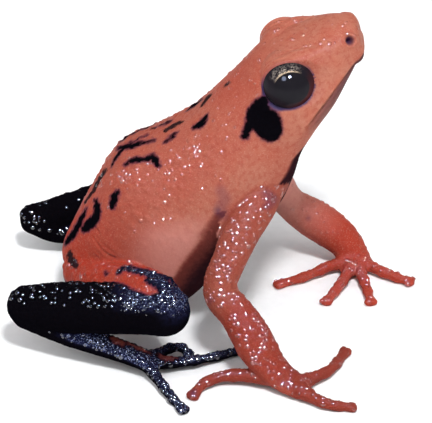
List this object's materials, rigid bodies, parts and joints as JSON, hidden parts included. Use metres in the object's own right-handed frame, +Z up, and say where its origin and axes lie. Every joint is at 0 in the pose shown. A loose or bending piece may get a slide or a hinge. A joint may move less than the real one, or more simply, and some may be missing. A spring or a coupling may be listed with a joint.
{
  "type": "poison frog model",
  "caption": "Life-size still model of a Silverstone's poison frog sitting up on its forelimbs, orange-red with black hind legs.",
  "frame": {"origin": "middle of the model's footprint, on the floor it sits on", "axes": "+X towards the frog's front, +Y towards its left side, +Z up"},
  "size_m": [0.0444, 0.0406, 0.0353],
  "materials": {
    "orange_skin": "moist granular orange-red skin, satin",
    "black_skin": "moist granular blue-black skin, glossy",
    "throat_skin": "moist smooth purplish skin, satin",
    "eye": "wet, mirror-smooth, near black"
  },
  "bodies": {
    "root": {"head": "orange_skin", "jaw": "throat_skin", "trunk": "orange_skin", "eye_left": "eye", "eye_right": "eye", "upper_arm_left": "orange_skin", "upper_arm_right": "orange_skin", "forearm_left": "orange_skin", "forearm_right": "orange_skin", "hand_left": "orange_skin", "hand_right": "orange_skin", "finger_left_1": "orange_skin", "finger_left_2": "orange_skin", "finger_left_3": "orange_skin", "finger_left_4": "orange_skin", "finger_right_1": "orange_skin", "finger_right_2": "orange_skin", "finger_right_3": "orange_skin", "finger_right_4": "orange_skin", "thigh_left": "black_skin", "thigh_right": "black_skin", "shank_left": "black_skin", "shank_right": "black_skin", "tarsus_left": "black_skin", "tarsus_right": "black_skin", "foot_left": "black_skin", "foot_right": "black_skin", "toe_left_1": "black_skin", "toe_left_2": "black_skin", "toe_left_3": "black_skin", "toe_left_4": "black_skin", "toe_left_5": "black_skin", "toe_right_1": "black_skin", "toe_right_2": "black_skin", "toe_right_3": "black_skin", "toe_right_4": "black_skin", "toe_right_5": "black_skin"}
  },
  "joints": []
}
